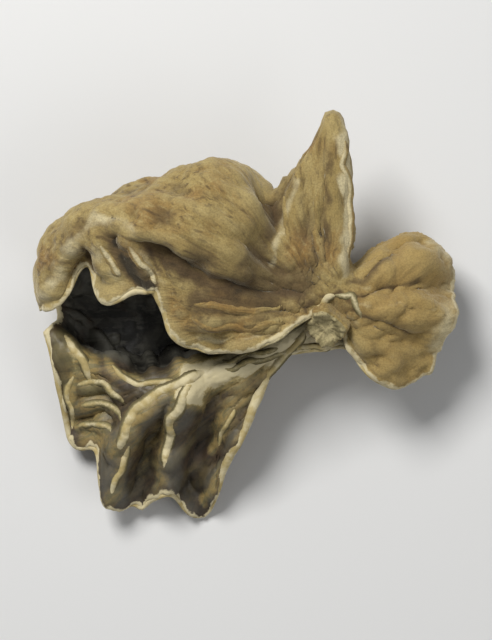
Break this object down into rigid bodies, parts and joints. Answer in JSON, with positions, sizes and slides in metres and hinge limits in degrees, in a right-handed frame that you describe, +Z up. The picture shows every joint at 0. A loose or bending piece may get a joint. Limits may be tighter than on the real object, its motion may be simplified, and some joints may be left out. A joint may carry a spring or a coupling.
{
  "type": "dried wood ear mushroom",
  "caption": "Dried wood ear, folded into a pouch: tan felted back, dark inner face, wavy thin margin, creases running out from the cut foot.",
  "frame": {"origin": "on the flat spot under the belly, where the ear touches what it lies on", "axes": "+X runs along the fold from the far end to the small lobe beyond the foot, +Y points to the folded back, +Z is up"},
  "size_m": [0.061, 0.0578, 0.0263],
  "materials": {
    "flesh": "dry and felted outside, dark and smooth inside"
  },
  "bodies": {
    "root": {"wood_ear": "flesh"}
  },
  "joints": []
}
